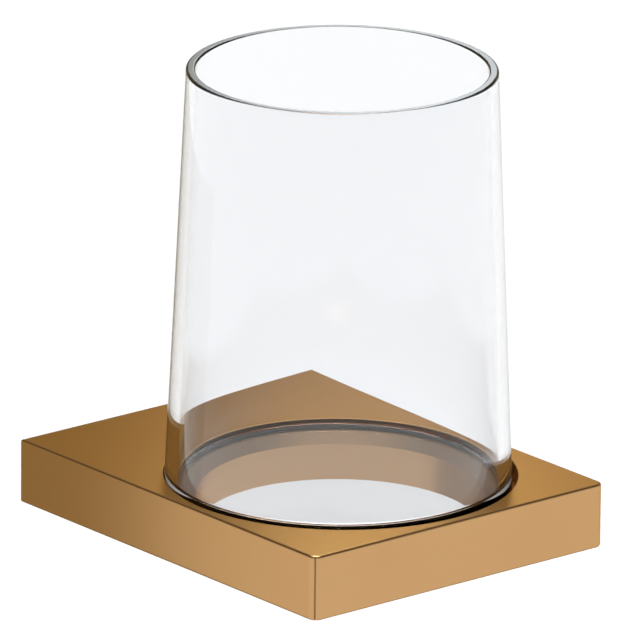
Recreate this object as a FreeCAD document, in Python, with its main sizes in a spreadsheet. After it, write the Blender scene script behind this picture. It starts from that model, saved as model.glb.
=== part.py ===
import FreeCAD, Part
import math
import os
import Sketcher

# Wall-mounted tumbler holder: a metal slab with a stepped round hole, in which a crystal tumbler stands.
# The slab hangs on a concealed bracket, two draw studs on a wall plate, and two grub screws lock it from below.
# Frame: origin on the wall, in the middle of the slab's wall face. +X to the right of someone who faces
# the wall, +Y into the wall, +Z up. Everything is in millimetres.

DIMENSIONS = {
    # slab
    "body_width": 86.4,
    "body_depth": 107.4,
    "body_height": 15.4,
    "corner_round": 2.2,  # plan radius of the two free corners
    "edge_round": 0.6,  # along the top and bottom outlines
    "hole_reach": 64.2,  # from the wall to the hole's axis
    "hole_radius": 40.8,
    "hole_edge_round": 0.35,
    "seat_depth": 4.2,  # from the slab's top to the seat
    "seat_bore_radius": 33.4,
    "seat_chamfer": 2.6,
    # ring let into the seat
    "ring_inner_radius": 37.2,
    "ring_outer_radius": 38.6,
    "ring_thickness": 0.8,
    "ring_groove_depth": 0.5,
    "ring_clearance": 0.05,
    # crystal tumbler
    "glass_height": 100.95,
    "glass_foot_radius": 40.2,
    "glass_rim_radius": 35.8,
    "glass_rim_wall": 2.3,
    "glass_foot_wall": 3.0,
    "glass_base": 3.5,
    "glass_foot_round": 1.2,
    "glass_inner_round": 1.0,
    "glass_rim_round": 0.6,
    "glass_gap": 0.05,  # between the foot and the ring
    "glass_shift_x": -0.45,  # the tumbler stands loose in its hole
    "glass_shift_y": 0.35,
    # recess in the wall face for the concealed bracket
    "recess_width": 62.0,
    "recess_height": 9.4,
    "recess_depth": 3.3,
    "recess_round": 3.0,
    "stud_bore_radius": 4.0,
    "stud_bore_depth": 12.4,  # from the wall
    # concealed bracket
    "plate_width": 61.2,
    "plate_height": 8.8,
    "plate_thickness": 3.0,
    "plate_round": 2.7,
    "wall_screw_spacing": 47.0,
    "wall_screw_radius": 2.25,
    "countersink": 1.7,
    # draw studs, riveted in the plate
    "stud_spacing": 23.0,
    "stud_shank_radius": 2.0,
    "stud_collar_radius": 3.7,
    "stud_collar_length": 1.2,
    "stud_radius": 3.0,
    "stud_length": 8.8,  # in front of the plate
    "stud_groove_reach": 8.2,  # from the wall to the middle of the groove
    "stud_groove_depth": 1.2,
    "stud_nose": 0.6,
    # grub screws
    "grub_radius": 2.0,
    "grub_clearance": 0.05,
    "grub_recess": 0.3,
    "grub_length": 5.1,
    "grub_point_length": 1.7,
    "grub_tip_radius": 0.3,
    "hex_radius": 1.15,  # to the socket's corners
    "hex_depth": 2.0,
}

SLACK = 1e-3  # how closely lengths and volumes have to agree
FULL_TURN = 360.0

doc = FreeCAD.newDocument("tumbler_holder")
sheet = doc.addObject("Spreadsheet::Sheet", "Dimensions")
for row, (alias, number) in enumerate(DIMENSIONS.items(), start=1):
    sheet.set(f"A{row}", alias)
    sheet.set(f"B{row}", str(number))
    sheet.setAlias(f"B{row}", alias)
doc.recompute()


class Size:
    """A length that knows both its number and its formula over the sheet's cells."""

    def __init__(self, number, formula):
        self.number = number
        self.formula = formula

    def __add__(self, other):
        other = as_size(other)
        return Size(self.number + other.number, f"({self.formula} + {other.formula})")

    def __sub__(self, other):
        other = as_size(other)
        return Size(self.number - other.number, f"({self.formula} - {other.formula})")

    def __mul__(self, factor):
        return Size(self.number * factor, f"({self.formula} * {factor})")

    def __truediv__(self, divisor):
        return Size(self.number / divisor, f"({self.formula} / {divisor})")

    def __neg__(self):
        return self * -1


def as_size(value):
    return value if isinstance(value, Size) else Size(value, f"{value} mm")


def cell(alias):
    return Size(DIMENSIONS[alias], f"Dimensions.{alias} * 1 mm")


ZERO = as_size(0.0)


def bind(feature, prop, size):
    feature.setExpression(prop, size.formula)


def new_body(label):
    body = doc.addObject("PartDesign::Body", label)
    body.Label = label
    return body


def plane_of(body, role):
    return next(item for item in body.Origin.OriginFeatures if item.Role == role)


def new_sketch(body, name, role, height=ZERO):
    """A sketch on one of the body's own origin planes, lifted along the plane's normal."""
    sketch = body.newObject("Sketcher::SketchObject", f"{body.Label}_{name}")
    sketch.AttachmentSupport = [(plane_of(body, role), "")]
    sketch.MapMode = "FlatFace"
    sketch.AttachmentOffset = FreeCAD.Placement(FreeCAD.Vector(0, 0, height.number), FreeCAD.Rotation())
    bind(sketch, "AttachmentOffset.Base.z", height)
    return sketch


def constrain(sketch, kind, name, size, *where):
    index = sketch.addConstraint(Sketcher.Constraint(kind, *where, size.number))
    sketch.renameConstraint(index, name)
    bind(sketch, f"Constraints.{name}", size)


def add_polygon(sketch, points):
    """A closed polygon whose every corner is bound, in x and in y, to the sheet."""
    corners = [FreeCAD.Vector(x.number, y.number, 0) for x, y in points]
    first = sketch.GeometryCount
    count = len(corners)
    for i, corner in enumerate(corners):
        sketch.addGeometry(Part.LineSegment(corner, corners[(i + 1) % count]), False)
    for i in range(count):
        following = first + (i + 1) % count
        sketch.addConstraint(Sketcher.Constraint("Coincident", first + i, 2, following, 1))
    for i, (x, y) in enumerate(points):
        constrain(sketch, "DistanceX", f"corner{i}_x", x, -1, 1, first + i, 1)
        constrain(sketch, "DistanceY", f"corner{i}_y", y, -1, 1, first + i, 1)


def add_rectangle(sketch, x0, x1, y0, y1):
    add_polygon(sketch, [(x0, y0), (x1, y0), (x1, y1), (x0, y1)])


def add_circle(sketch, name, x, y, radius):
    centre = FreeCAD.Vector(x.number, y.number, 0)
    index = sketch.addGeometry(Part.Circle(centre, FreeCAD.Vector(0, 0, 1), radius.number), False)
    constrain(sketch, "DistanceX", f"{name}_x", x, -1, 1, index, 3)
    constrain(sketch, "DistanceY", f"{name}_y", y, -1, 1, index, 3)
    constrain(sketch, "Radius", f"{name}_radius", radius, index)


def add_hexagon(sketch, radius):
    """A regular hexagon about the sketch's origin, its corners on a bound construction circle."""
    guide = sketch.addGeometry(Part.Circle(FreeCAD.Vector(), FreeCAD.Vector(0, 0, 1), radius.number), True)
    sketch.addConstraint(Sketcher.Constraint("Coincident", guide, 3, -1, 1))
    constrain(sketch, "Radius", "hex_radius", radius, guide)
    turn = math.pi / 3
    corners = []
    for i in range(6):
        x, y = radius.number * math.cos(i * turn), radius.number * math.sin(i * turn)
        corners.append(FreeCAD.Vector(x, y, 0))
    first = sketch.GeometryCount
    for i, corner in enumerate(corners):
        sketch.addGeometry(Part.LineSegment(corner, corners[(i + 1) % 6]), False)
    for i in range(6):
        sketch.addConstraint(Sketcher.Constraint("Coincident", first + i, 2, first + (i + 1) % 6, 1))
        sketch.addConstraint(Sketcher.Constraint("PointOnObject", first + i, 1, guide))
    for i in range(1, 6):
        sketch.addConstraint(Sketcher.Constraint("Equal", first, first + i))
    sketch.addConstraint(Sketcher.Constraint("PointOnObject", first, 1, -1))


def pad(body, sketch, length, midplane=False):
    feature = body.newObject("PartDesign::Pad", f"{sketch.Name}_pad")
    feature.Profile = sketch
    feature.Midplane = midplane
    bind(feature, "Length", length)
    doc.recompute()


def pocket(body, sketch, length, reverse=False):
    """Cuts the sketch into the body, and stops the script if that removes nothing."""
    before = body.Shape.Volume
    feature = body.newObject("PartDesign::Pocket", f"{sketch.Name}_pocket")
    feature.Profile = sketch
    feature.Reversed = reverse
    bind(feature, "Length", length)
    doc.recompute()
    if body.Shape.Volume > before - SLACK:
        raise RuntimeError(f"{feature.Name} removed nothing")


def revolve(body, sketch, axis):
    """Turns the sketch once around its own horizontal (H_Axis) or vertical (V_Axis) axis."""
    feature = body.newObject("PartDesign::Revolution", f"{sketch.Name}_turned")
    feature.Profile = sketch
    feature.ReferenceAxis = (sketch, [axis])
    feature.Angle = FULL_TURN
    doc.recompute()


def edges_where(body, wanted):
    """Names of the body's edges for which wanted(edge) is true."""
    names = [f"Edge{i}" for i, edge in enumerate(body.Shape.Edges, start=1) if wanted(edge)]
    if not names:
        raise RuntimeError(f"{body.Label} has no such edge")
    return names


def dress(body, kind, name, prop, size, wanted):
    """A Fillet or Chamfer on the edges for which wanted(edge) is true."""
    base = (body.Tip, edges_where(body, wanted))
    feature = body.newObject(f"PartDesign::{kind}", f"{body.Label}_{name}")
    feature.Base = base
    bind(feature, prop, size)
    doc.recompute()


def fillet(body, name, radius, wanted):
    dress(body, "Fillet", name, "Radius", radius, wanted)


def chamfer(body, name, size, wanted):
    dress(body, "Chamfer", name, "Size", size, wanted)


def near(a, b):
    return abs(a - b) < SLACK


def is_level_at(edge, height):
    return near(edge.BoundBox.ZMin, height.number) and near(edge.BoundBox.ZMax, height.number)


def is_circle_of(edge, radius):
    return isinstance(edge.Curve, Part.Circle) and near(edge.Curve.Radius, radius.number)


def place(body, x=ZERO, y=ZERO, z=ZERO):
    body.Placement.Base = FreeCAD.Vector(x.number, y.number, z.number)
    bind(body, "Placement.Base.x", x)
    bind(body, "Placement.Base.y", y)
    bind(body, "Placement.Base.z", z)


slab_top = cell("body_height") / 2
slab_bottom = -slab_top
hole_y = -cell("hole_reach")
seat_z = slab_top - cell("seat_depth")
groove_z = seat_z - cell("ring_groove_depth")
ring_top = groove_z + cell("ring_thickness")
stud_x = cell("stud_spacing") / 2


def make_holder_body():
    """The cast slab: stepped hole, seat with its ring groove, and at the wall a recess for the plate,
    a blind bore for each stud and a tapped hole below each bore."""
    body = new_body("holder_body")
    half_width = cell("body_width") / 2
    front = -cell("body_depth")

    outline = new_sketch(body, "outline", "XY_Plane")
    add_rectangle(outline, -half_width, half_width, front, ZERO)
    pad(body, outline, cell("body_height"), midplane=True)

    def is_free_corner(edge):
        box = edge.BoundBox
        upright = near(box.XLength, 0) and near(box.YLength, 0)
        return upright and near(box.YMin, front.number)

    fillet(body, "corners", cell("corner_round"), is_free_corner)

    def is_outline(edge):
        return is_level_at(edge, slab_top) or is_level_at(edge, slab_bottom)

    fillet(body, "outline_edges", cell("edge_round"), is_outline)

    hole = new_sketch(body, "hole", "XY_Plane", slab_top)
    add_circle(hole, "hole", ZERO, hole_y, cell("hole_radius"))
    pocket(body, hole, cell("seat_depth"))

    bore = new_sketch(body, "bore", "XY_Plane", slab_top)
    add_circle(bore, "bore", ZERO, hole_y, cell("seat_bore_radius"))
    pocket(body, bore, cell("body_height"))

    groove = new_sketch(body, "groove", "XY_Plane", seat_z)
    add_circle(groove, "inner", ZERO, hole_y, cell("ring_inner_radius") - cell("ring_clearance"))
    add_circle(groove, "outer", ZERO, hole_y, cell("ring_outer_radius") + cell("ring_clearance"))
    pocket(body, groove, cell("ring_groove_depth"))

    def is_seat_edge(edge):
        return is_circle_of(edge, cell("seat_bore_radius")) and is_level_at(edge, seat_z)

    chamfer(body, "seat_edge", cell("seat_chamfer"), is_seat_edge)

    def is_hole_edge(edge):
        return is_circle_of(edge, cell("hole_radius")) and is_level_at(edge, slab_top)

    fillet(body, "hole_edge", cell("hole_edge_round"), is_hole_edge)

    recess = new_sketch(body, "recess", "XZ_Plane")
    half_recess = cell("recess_width") / 2
    half_height = cell("recess_height") / 2
    add_rectangle(recess, -half_recess, half_recess, -half_height, half_height)
    pocket(body, recess, cell("recess_depth"), reverse=True)

    def is_recess_corner(edge):
        box = edge.BoundBox
        inward = near(box.XLength, 0) and near(box.ZLength, 0)
        at_side = near(abs(box.XMin), half_recess.number)
        return inward and at_side and near(box.YMin, -cell("recess_depth").number)

    fillet(body, "recess_corners", cell("recess_round"), is_recess_corner)

    bores = new_sketch(body, "stud_bores", "XZ_Plane")
    tapped = new_sketch(body, "tapped_holes", "XY_Plane", slab_bottom)
    tapped_radius = cell("grub_radius") + cell("grub_clearance")
    for name, x in (("left", -stud_x), ("right", stud_x)):
        add_circle(bores, name, x, ZERO, cell("stud_bore_radius"))
        add_circle(tapped, name, x, -cell("stud_groove_reach"), tapped_radius)
    pocket(body, bores, cell("stud_bore_depth"), reverse=True)
    pocket(body, tapped, cell("body_height") / 2, reverse=True)
    return body


def make_seat_ring():
    """The clear ring that keeps crystal and metal apart, lying in the seat's groove."""
    body = new_body("seat_ring")
    section = new_sketch(body, "section", "XY_Plane")
    add_circle(section, "inner", ZERO, ZERO, cell("ring_inner_radius"))
    add_circle(section, "outer", ZERO, ZERO, cell("ring_outer_radius"))
    pad(body, section, cell("ring_thickness"))
    place(body, ZERO, hole_y, groove_z)
    return body


def make_tumbler():
    """The crystal tumbler, turned from one section: it narrows towards the rim and has a heavy base."""
    body = new_body("tumbler")
    foot = cell("glass_foot_radius")
    rim = cell("glass_rim_radius")
    height = cell("glass_height")
    base = cell("glass_base")
    section = new_sketch(body, "section", "XZ_Plane")
    points = [
        (ZERO, ZERO),
        (foot, ZERO),
        (rim, height),
        (rim - cell("glass_rim_wall"), height),
        (foot - cell("glass_foot_wall"), base),
        (ZERO, base),
    ]
    add_polygon(section, points)
    revolve(body, section, "V_Axis")

    def is_rim(edge):
        return is_level_at(edge, height)

    def is_foot(edge):
        return is_circle_of(edge, foot)

    def is_inner_corner(edge):
        return is_level_at(edge, base) and is_circle_of(edge, foot - cell("glass_foot_wall"))

    fillet(body, "rim_round", cell("glass_rim_round"), is_rim)
    fillet(body, "foot_round", cell("glass_foot_round"), is_foot)
    fillet(body, "inner_round", cell("glass_inner_round"), is_inner_corner)
    shift_y = hole_y + cell("glass_shift_y")
    place(body, cell("glass_shift_x"), shift_y, ring_top + cell("glass_gap"))
    return body


def make_wall_plate():
    """The plate on the wall: two countersunk holes for wall screws, two for the studs."""
    body = new_body("wall_plate")
    half_width = cell("plate_width") / 2
    half_height = cell("plate_height") / 2
    outline = new_sketch(body, "outline", "XZ_Plane")
    add_rectangle(outline, -half_width, half_width, -half_height, half_height)
    pad(body, outline, cell("plate_thickness"))

    def is_corner(edge):
        box = edge.BoundBox
        return near(box.XLength, 0) and near(box.ZLength, 0) and near(abs(box.XMin), half_width.number)

    fillet(body, "corners", cell("plate_round"), is_corner)

    holes = new_sketch(body, "holes", "XZ_Plane")
    screw_x = cell("wall_screw_spacing") / 2
    shank = cell("stud_shank_radius")
    for name, sign in (("left", -1), ("right", 1)):
        add_circle(holes, f"screw_{name}", screw_x * sign, ZERO, cell("wall_screw_radius"))
        add_circle(holes, f"stud_{name}", stud_x * sign, ZERO, shank)
    pocket(body, holes, cell("plate_thickness"), reverse=True)

    def is_screw_mouth(edge):
        at_front = near(edge.BoundBox.YMax, -cell("plate_thickness").number)
        return at_front and is_circle_of(edge, cell("wall_screw_radius"))

    chamfer(body, "countersinks", cell("countersink"), is_screw_mouth)
    return body


def make_draw_stud(label, x):
    """A turned stud: shank in the plate, collar against it, and a V groove for the grub screw's point."""
    body = new_body(label)
    plate = cell("plate_thickness")
    radius = cell("stud_radius")
    collar_end = plate + cell("stud_collar_length")
    groove = cell("stud_groove_reach")
    depth = cell("stud_groove_depth")
    nose = cell("stud_nose")
    tip = plate + cell("stud_length")
    section = new_sketch(body, "section", "XY_Plane")
    points = [
        (ZERO, ZERO),
        (cell("stud_shank_radius"), ZERO),
        (cell("stud_shank_radius"), -plate),
        (cell("stud_collar_radius"), -plate),
        (cell("stud_collar_radius"), -collar_end),
        (radius, -collar_end),
        (radius, depth - groove),
        (radius - depth, -groove),
        (radius, -groove - depth),
        (radius, nose - tip),
        (radius - nose, -tip),
        (ZERO, -tip),
    ]
    add_polygon(section, points)
    revolve(body, section, "V_Axis")
    place(body, x)
    return body


def make_grub_screw(label, x):
    """A cone-point set screw, driven from below with a hex key."""
    body = new_body(label)
    radius = cell("grub_radius")
    length = cell("grub_length")
    section = new_sketch(body, "section", "XZ_Plane")
    points = [
        (ZERO, ZERO),
        (radius, ZERO),
        (radius, length - cell("grub_point_length")),
        (cell("grub_tip_radius"), length),
        (ZERO, length),
    ]
    add_polygon(section, points)
    revolve(body, section, "V_Axis")
    socket = new_sketch(body, "socket", "XY_Plane")
    add_hexagon(socket, cell("hex_radius"))
    pocket(body, socket, cell("hex_depth"), reverse=True)
    place(body, x, -cell("stud_groove_reach"), slab_bottom + cell("grub_recess"))
    return body


pieces = [make_holder_body(), make_seat_ring(), make_tumbler(), make_wall_plate()]
for side, x in (("left", -stud_x), ("right", stud_x)):
    pieces.append(make_draw_stud(f"draw_stud_{side}", x))
    pieces.append(make_grub_screw(f"grub_screw_{side}", x))
doc.recompute()

for item in doc.Objects:
    if "Invalid" in item.State or "Error" in item.State:
        raise RuntimeError(f"{item.Label} did not compute: {item.State}")
for piece in pieces:
    if piece.Shape.isNull() or not piece.Shape.isValid() or len(piece.Shape.Solids) != 1:
        raise RuntimeError(f"{piece.Label} is not one valid solid")

os.makedirs("parts", exist_ok=True)
for piece in pieces:
    piece.Shape.exportStep(f"parts/{piece.Label}.step")
    box = piece.Shape.BoundBox
    low = [round(value, 2) for value in (box.XMin, box.YMin, box.ZMin)]
    high = [round(value, 2) for value in (box.XMax, box.YMax, box.ZMax)]
    print(f"{piece.Label}: volume {piece.Shape.Volume:.1f} mm3, from {low} to {high}")
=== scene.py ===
import math

import bmesh
import bpy
from mathutils import Matrix, Vector


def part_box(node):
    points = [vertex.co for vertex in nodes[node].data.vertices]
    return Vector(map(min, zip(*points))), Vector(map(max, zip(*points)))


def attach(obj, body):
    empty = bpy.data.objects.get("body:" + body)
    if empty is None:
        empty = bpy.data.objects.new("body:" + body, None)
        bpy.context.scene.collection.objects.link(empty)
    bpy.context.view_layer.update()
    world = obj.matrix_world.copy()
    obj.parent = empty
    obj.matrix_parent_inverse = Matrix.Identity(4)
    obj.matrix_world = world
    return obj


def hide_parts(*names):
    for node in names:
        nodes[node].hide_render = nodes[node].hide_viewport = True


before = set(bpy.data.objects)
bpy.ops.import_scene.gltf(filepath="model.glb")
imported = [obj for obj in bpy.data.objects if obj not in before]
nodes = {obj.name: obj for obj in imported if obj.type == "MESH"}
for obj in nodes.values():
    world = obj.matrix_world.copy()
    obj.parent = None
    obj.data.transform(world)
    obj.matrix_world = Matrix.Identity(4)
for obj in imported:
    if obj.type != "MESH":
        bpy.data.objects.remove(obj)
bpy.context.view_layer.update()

MM = 0.001

slab_low, slab_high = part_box("holder_body")
slab_top = slab_high.z
slab_centre = (slab_low + slab_high) / 2
glass_low, glass_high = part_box("tumbler")
glass_centre = (glass_low + glass_high) / 2


# ---------------------------------------------------------------- node helpers

class Tree:
    """A short way to write a material's or the world's node tree."""

    def __init__(self, tree):
        self.nodes = tree.nodes
        self.links = tree.links
        self.nodes.clear()

    def add(self, kind, inputs=None, **settings):
        node = self.nodes.new(kind)
        for key, value in settings.items():
            setattr(node, key, value)
        for key, value in (inputs or {}).items():
            if isinstance(value, bpy.types.NodeSocket):
                self.links.new(value, node.inputs[key])
            else:
                node.inputs[key].default_value = value
        return node

    def ramp(self, factor, stops):
        node = self.add("ShaderNodeValToRGB", {"Fac": factor})
        elements = node.color_ramp.elements
        while len(elements) < len(stops):
            elements.new(0.5)
        for element, (place, colour) in zip(elements, stops):
            element.position = place
            element.color = colour if isinstance(colour, tuple) else (colour, colour, colour, 1.0)
        return node

    def spread(self, value, low, high):
        """Maps a 0 to 1 value to low to high."""
        node = self.add("ShaderNodeMapRange", {"Value": value, "To Min": low, "To Max": high})
        return node.outputs["Result"]


def new_material(name):
    material = bpy.data.materials.new(name)
    material.use_nodes = True
    return material, Tree(material.node_tree)


def srgb(red, green, blue):
    """Linear colour of an 8-bit sRGB one."""
    linear = []
    for value in (red, green, blue):
        v = value / 255
        linear.append(v / 12.92 if v <= 0.04045 else ((v + 0.055) / 1.055) ** 2.4)
    return (*linear, 1.0)


# ---------------------------------------------------------------- materials

CORNER_INSET = 0.46 * MM  # moves the painted dark edge line in to the middle of the wider, upright corner rounding
# Where the painted dark edge line is at full strength and where it ends, measured in from the edge.
EDGE_SHADE_FULL = 0.20 * MM
EDGE_SHADE_END = 0.42 * MM


def edge_distance(tree, place):
    """How far a point of the slab is from its nearest free edge. The edges on the wall side are left out."""
    def calc(operation, first, second=0.0):
        return tree.add("ShaderNodeMath", {0: first, 1: second}, operation=operation).outputs["Value"]

    axes = tree.add("ShaderNodeSeparateXYZ", {"Vector": place}).outputs
    half = (slab_high - slab_low) / 2
    from_side = calc("SUBTRACT", half.x, calc("ABSOLUTE", axes["X"]))
    from_front = calc("SUBTRACT", axes["Y"], slab_low.y)
    from_level = calc("SUBTRACT", half.z, calc("ABSOLUTE", axes["Z"]))
    upright = calc("SUBTRACT", calc("MAXIMUM", from_side, from_front), CORNER_INSET)
    level = calc("MAXIMUM", calc("MINIMUM", from_side, from_front), from_level)
    return calc("MINIMUM", upright, level)


def make_bronze():
    """Satin bronze: an even, fine polish with faint clouding, and a painted dark reflection line in the
    rounding of its edges.
    """
    material, tree = new_material("satin_bronze")
    place = tree.add("ShaderNodeTexCoord").outputs["Object"]
    cloud = tree.add("ShaderNodeTexNoise", {"Vector": place, "Scale": 30.0, "Detail": 3.0, "Roughness": 0.5})
    grain = tree.add("ShaderNodeTexNoise", {"Vector": place, "Scale": 700.0, "Detail": 2.0})
    tone = tree.ramp(cloud.outputs["Fac"], [(0.3, srgb(196, 154, 105)), (0.7, srgb(199, 157, 109))])
    # Painted shade: the colour turns dark brown in the rounding of the edges, standing in for the dark
    # reflections there.
    painted_edge_shade = tree.add("ShaderNodeMapRange", {
        "Value": edge_distance(tree, place),
        "From Min": EDGE_SHADE_FULL,
        "From Max": EDGE_SHADE_END,
        "To Min": 0.85,
        "To Max": 0.0,
    })
    colour = tree.add("ShaderNodeMixRGB", {
        "Fac": painted_edge_shade.outputs["Result"],
        "Color1": tone.outputs["Color"],
        "Color2": srgb(84, 52, 22),
    })
    rough_grain = tree.spread(grain.outputs["Fac"], -0.01, 0.01)
    rough_cloud = tree.spread(cloud.outputs["Fac"], 0.27, 0.31)
    roughness = tree.add("ShaderNodeMath", {0: rough_grain, 1: rough_cloud}, operation="ADD")
    shader = tree.add("ShaderNodeBsdfPrincipled", {
        "Base Color": colour.outputs["Color"],
        "Metallic": 1.0,
        "Specular Tint": srgb(228, 196, 156),
        "Roughness": roughness.outputs["Value"],
    })
    tree.add("ShaderNodeOutputMaterial", {"Surface": shader.outputs["BSDF"]})
    return material


def make_crystal():
    """Clear polished crystal."""
    material, tree = new_material("clear_crystal")
    shader = tree.add("ShaderNodeBsdfPrincipled", {
        "Base Color": (0.912, 0.920, 0.932, 1.0),
        "Specular Tint": (0.4, 0.4, 0.4, 1.0),
        "Roughness": 0.0,
        "IOR": 1.52,
        "Transmission Weight": 1.0,
    })
    tree.add("ShaderNodeOutputMaterial", {"Surface": shader.outputs["BSDF"]})
    return material


def make_silicone():
    material, tree = new_material("clear_silicone")
    place = tree.add("ShaderNodeTexCoord").outputs["Object"]
    haze = tree.add("ShaderNodeTexNoise", {"Vector": place, "Scale": 400.0, "Detail": 3.0})
    shader = tree.add("ShaderNodeBsdfPrincipled", {
        "Base Color": (0.80, 0.58, 0.36, 1.0),
        "Roughness": tree.spread(haze.outputs["Fac"], 0.25, 0.45),
        "IOR": 1.41,
        "Transmission Weight": 1.0,
    })
    tree.add("ShaderNodeOutputMaterial", {"Surface": shader.outputs["BSDF"]})
    return material


def make_stainless(name, tone, grain_scale):
    material, tree = new_material(name)
    place = tree.add("ShaderNodeTexCoord").outputs["Object"]
    mapping = tree.add("ShaderNodeMapping", {"Vector": place, "Scale": grain_scale})
    grain = tree.add("ShaderNodeTexNoise", {"Vector": mapping.outputs["Vector"], "Scale": 8.0, "Detail": 4.0})
    colour = tree.ramp(grain.outputs["Fac"], [(0.3, (*[tone * 0.9] * 3, 1.0)), (0.7, (*[tone] * 3, 1.0))])
    bump = tree.add("ShaderNodeBump", {"Height": grain.outputs["Fac"], "Strength": 0.1, "Distance": 0.00005})
    shader = tree.add("ShaderNodeBsdfPrincipled", {
        "Base Color": colour.outputs["Color"],
        "Metallic": 1.0,
        "Roughness": tree.spread(grain.outputs["Fac"], 0.25, 0.45),
        "Normal": bump.outputs["Normal"],
    })
    tree.add("ShaderNodeOutputMaterial", {"Surface": shader.outputs["BSDF"]})
    return material


def make_white_floor():
    material, tree = new_material("white_floor")
    place = tree.add("ShaderNodeTexCoord").outputs["Object"]
    noise = tree.add("ShaderNodeTexNoise", {"Vector": place, "Scale": 3.0, "Detail": 2.0})
    colour = tree.ramp(noise.outputs["Fac"], [(0.3, 0.88), (0.7, 0.9)])
    shader = tree.add("ShaderNodeBsdfPrincipled", {
        "Base Color": colour.outputs["Color"],
        "Roughness": 0.9,
        "Specular IOR Level": 0.1,
    })
    tree.add("ShaderNodeOutputMaterial", {"Surface": shader.outputs["BSDF"]})
    return material


# ---------------------------------------------------------------- pieces

def with_supports(profile, margin):
    """The profile with a point near each end of every long run, so smooth shading keeps the runs straight."""
    points = [profile[0]]
    for start, end in zip(profile, profile[1:]):
        start, end = Vector(start), Vector(end)
        if (end - start).length > 20 * margin:
            step = (end - start).normalized() * margin
            points += [tuple(start + step), tuple(end - step)]
        points.append(tuple(end))
    return points


def lathe(name, profile, centre, steps=256):
    """A closed solid of revolution about a vertical axis. profile holds (radius, height) points."""
    profile = with_supports(profile, 0.05 * MM)
    mesh = bmesh.new()
    rings = []
    for radius, height in profile:
        if radius < 1e-9:
            rings.append([mesh.verts.new((centre.x, centre.y, height))])
            continue
        ring = []
        for i in range(steps):
            angle = 2 * math.pi * i / steps
            x = centre.x + radius * math.cos(angle)
            y = centre.y + radius * math.sin(angle)
            ring.append(mesh.verts.new((x, y, height)))
        rings.append(ring)
    for lower, upper in zip(rings, rings[1:]):
        for i in range(steps):
            j = (i + 1) % steps
            if len(lower) == 1:
                mesh.faces.new((lower[0], upper[j], upper[i]))
            elif len(upper) == 1:
                mesh.faces.new((lower[i], lower[j], upper[0]))
            else:
                mesh.faces.new((lower[i], lower[j], upper[j], upper[i]))
    bmesh.ops.recalc_face_normals(mesh, faces=mesh.faces)
    data = bpy.data.meshes.new(name)
    mesh.to_mesh(data)
    mesh.free()
    for polygon in data.polygons:
        polygon.use_smooth = True
    piece = bpy.data.objects.new(name, data)
    bpy.context.scene.collection.objects.link(piece)
    return piece


def arc(centre, radius, start, end, count=12):
    """Points of an arc in the (radius, height) plane, angles in degrees."""
    points = []
    for i in range(count + 1):
        angle = math.radians(start + (end - start) * i / count)
        points.append((centre[0] + radius * math.cos(angle), centre[1] + radius * math.sin(angle)))
    return points


FOOT_ROUND = 1.2 * MM
INNER_ROUND = 1.0 * MM
RIM_ROUND = 0.6 * MM
BASE = 3.5 * MM
FOOT_WALL = 3.0 * MM
RIM_WALL = 2.3 * MM
FOOT_RADIUS = 40.2 * MM
RIM_RADIUS = 35.8 * MM


def make_tumbler():
    """The tumbler's section: flat base, rounded foot, tapered wall, softened rim, rounded inner corner."""
    low, high = glass_low.z, glass_high.z
    floor = low + BASE
    lean = math.degrees(math.atan((FOOT_RADIUS - RIM_RADIUS) / (high - low)))
    inner_foot = FOOT_RADIUS - FOOT_WALL
    inner_rim = RIM_RADIUS - RIM_WALL
    inner_lean = math.degrees(math.atan((inner_foot - inner_rim) / (high - floor)))
    foot = (FOOT_RADIUS - FOOT_ROUND, low + FOOT_ROUND)
    outer_edge = (RIM_RADIUS - RIM_ROUND, high - RIM_ROUND)
    inner_edge = (inner_rim + RIM_ROUND, high - RIM_ROUND)
    corner = (inner_foot - INNER_ROUND, floor + INNER_ROUND)
    profile = [
        (0.0, low),
        *arc(foot, FOOT_ROUND, -90, lean),
        *arc(outer_edge, RIM_ROUND, lean, 90),
        *arc(inner_edge, RIM_ROUND, 90, 180 + inner_lean),
        *arc(corner, INNER_ROUND, inner_lean, -90),
        (0.0, floor),
    ]
    piece = lathe("crystal_tumbler", profile, glass_centre)
    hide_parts("tumbler")
    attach(piece, "tumbler")
    piece.data.materials.append(make_crystal())


def dress(node, material):
    for slot in nodes[node].material_slots:
        slot.material = material


def dress_cad_nodes():
    dress("holder_body", make_bronze())
    dress("seat_ring", make_silicone())
    dress("wall_plate", make_stainless("stainless_plate_satin", 0.62, (40.0, 900.0, 900.0)))
    turned = make_stainless("stainless_turned_bright", 0.68, (300.0, 300.0, 300.0))
    for side in ("left", "right"):
        dress(f"draw_stud_{side}", turned)
        dress(f"grub_screw_{side}", turned)


# ---------------------------------------------------------------- studio

def make_floor():
    mesh = bmesh.new()
    bmesh.ops.create_grid(mesh, x_segments=1, y_segments=1, size=12.0)
    data = bpy.data.meshes.new("studio_floor")
    mesh.to_mesh(data)
    mesh.free()
    floor = bpy.data.objects.new("studio_floor", data)
    bpy.context.scene.collection.objects.link(floor)
    floor.location.z = slab_low.z - 0.25
    floor.data.materials.append(make_white_floor())


def add_reflection_card(name, points, faces, colour, strength):
    """A glowing card that only mirror reflections see, unless its visible_transmission is switched on: a
    painted reflection, not a lamp.
    """
    data = bpy.data.meshes.new(name)
    data.from_pydata([tuple(point) for point in points], [], faces)
    card = bpy.data.objects.new(name, data)
    bpy.context.scene.collection.objects.link(card)
    material, tree = new_material(name)
    glow = tree.add("ShaderNodeEmission", {"Color": colour, "Strength": strength})
    tree.add("ShaderNodeOutputMaterial", {"Surface": glow.outputs["Emission"]})
    data.materials.append(material)
    card.visible_camera = False
    card.visible_diffuse = False
    card.visible_transmission = False
    card.visible_shadow = False
    return card


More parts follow.
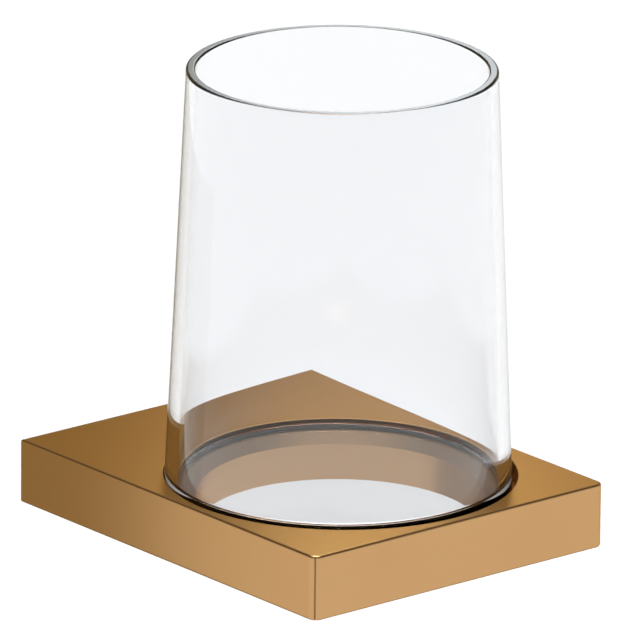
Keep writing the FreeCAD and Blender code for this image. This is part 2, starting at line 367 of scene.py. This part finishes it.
def feather(card, strength):
    """Fades an upright card's glow to nothing at its edges, as a softbox does, with no hard outline; the card
    is a painted highlight, not a lamp.
    """
    tree = Tree(card.data.materials[0].node_tree)

    def product(first, second):
        return tree.add("ShaderNodeMath", {0: first, 1: second}, operation="MULTIPLY").outputs["Value"]

    place = tree.add("ShaderNodeTexCoord").outputs["Generated"]
    axes = tree.add("ShaderNodeSeparateXYZ", {"Vector": place}).outputs
    for axis in ("X", "Z"):
        # 4 t (1 - t): 1 in the middle and 0 at both ends.
        rest = tree.add("ShaderNodeMath", {0: 1.0, 1: axes[axis]}, operation="SUBTRACT").outputs["Value"]
        hump = product(product(axes[axis], rest), 4.0)
        strength = product(hump, strength)
    glow = tree.add("ShaderNodeEmission", {"Color": COOL, "Strength": strength})
    clear = tree.add("ShaderNodeBsdfTransparent")
    both = tree.add("ShaderNodeAddShader", {0: glow.outputs["Emission"], 1: clear.outputs["BSDF"]})
    tree.add("ShaderNodeOutputMaterial", {"Surface": both.outputs["Shader"]})


def flat_card(name, corner, across, up, colour, strength):
    points = (corner, corner + across, corner + across + up, corner + up)
    return add_reflection_card(name, points, [(0, 1, 2, 3)], colour, strength)


def round_card(name, radius, azimuths, heights, colour, strength, steps=24):
    """An upright curved card around the slab. Azimuth 0 is straight in front of it and grows to its right."""
    points, faces = [], []
    for i in range(steps + 1):
        azimuth = math.radians(azimuths[0] + (azimuths[1] - azimuths[0]) * i / steps)
        x = slab_centre.x + radius * math.sin(azimuth)
        y = slab_centre.y - radius * math.cos(azimuth)
        points += [(x, y, heights[0]), (x, y, heights[1])]
    for i in range(steps):
        faces.append((2 * i, 2 * i + 2, 2 * i + 3, 2 * i + 1))
    return add_reflection_card(name, points, faces, colour, strength)


def add_sun(name, energy, angle, rotation):
    sun = bpy.data.lights.new(name, "SUN")
    sun.energy = energy
    sun.angle = math.radians(angle)
    lamp = bpy.data.objects.new(name, sun)
    bpy.context.scene.collection.objects.link(lamp)
    lamp.rotation_euler = [math.radians(turn) for turn in rotation]
    lamp.visible_glossy = False
    return lamp


# Colours of the cards that paint reflections: warm for the dim shade cards, cool for the highlight card.
WARM = (1.0, 0.86, 0.55, 1.0)
COOL = (0.86, 0.93, 1.0, 1.0)
# Strength of the highlight card, a glow that only reflections and refractions see: a painted highlight.
HIGHLIGHT_CARD_STRENGTH = 4.5


def make_lights():
    add_sun("floor_light", 2.45, 25, (-26, 20, 0))
    # The camera looks along `away`, and `side` runs to its right.
    away = Vector((0.629, 0.777, 0.0))
    side = Vector((0.777, -0.629, 0.0))
    up = Vector((0, 0, 1))
    top = slab_centre + up * (slab_top - slab_centre.z)
    # The slab's top face: cards that only reflections see paint a warm, even tone on it and a painted
    # highlight glow in its middle.
    round_card("back_reflection_card", 0.9, (95, 205), (0.03, 0.56), WARM, 0.36)
    low = top + away * 0.42 + side * 0.018 + up * 0.165
    glow = flat_card("back_highlight_card", low - side * 0.062, side * 0.14, up * 0.24, COOL, HIGHLIGHT_CARD_STRENGTH)
    feather(glow, HIGHLIGHT_CARD_STRENGTH)
    glow.visible_transmission = True
    # Painted shade: a dim warm card that only reflections see makes the slab's left side darker towards the
    # wall side.
    mirrored = Vector((-0.629, 0.777, 0.0))
    along = Vector((0.777, 0.629, 0.0))
    edge = mirrored * 0.105 - along * 0.068
    flat_card("left_shade_card", edge - up * 0.20, along * 0.30, up * 0.25, WARM, 0.42)

    world = bpy.data.worlds.new("studio")
    bpy.context.scene.world = world
    world.use_nodes = True
    tree = Tree(world.node_tree)
    direction = tree.add("ShaderNodeTexCoord").outputs["Generated"]
    height = tree.add("ShaderNodeSeparateXYZ", {"Vector": direction}).outputs["Z"]
    dome = tree.ramp(height, [(0.0, 1.04), (0.02, 0.42), (0.80, 0.40), (0.93, 1.0)])
    background = tree.add("ShaderNodeBackground", {"Color": dome.outputs["Color"], "Strength": 1.0})
    tree.add("ShaderNodeOutputWorld", {"Surface": background.outputs["Background"]})


CAMERA_ANGLES = (-39.603, 17.864, -0.566)  # azimuth, elevation and roll in degrees
CAMERA_DISTANCE = 2.814
CAMERA_LENS = 682.2  # focal length in millimetres


def make_camera():
    """A long lens, so the picture is nearly a parallel projection."""
    azimuth, elevation, roll = (math.radians(angle) for angle in CAMERA_ANGLES)
    target = Vector((0.013224, -0.037689, slab_top + 0.027521))
    back = Vector((
        math.sin(azimuth) * math.cos(elevation),
        -math.cos(azimuth) * math.cos(elevation),
        math.sin(elevation),
    ))
    right = (-back).cross(Vector((0, 0, 1))).normalized()
    up = back.cross(right)
    right, up = (
        right * math.cos(roll) - up * math.sin(roll),
        right * math.sin(roll) + up * math.cos(roll),
    )
    camera = bpy.data.cameras.new("camera")
    camera.sensor_width = 36.0
    camera.lens = CAMERA_LENS
    camera.clip_start = 0.1
    camera.clip_end = 60.0
    holder = bpy.data.objects.new("camera", camera)
    bpy.context.scene.collection.objects.link(holder)
    axes = Matrix((right, up, back)).transposed()
    holder.matrix_world = Matrix.Translation(target + back * CAMERA_DISTANCE) @ axes.to_4x4()
    bpy.context.scene.camera = holder


make_camera()
dress_cad_nodes()
make_tumbler()
make_floor()
make_lights()
bpy.context.scene.view_settings.view_transform = "Standard"
bpy.context.scene.cycles.transmission_bounces = 16
bpy.context.scene.cycles.max_bounces = 24
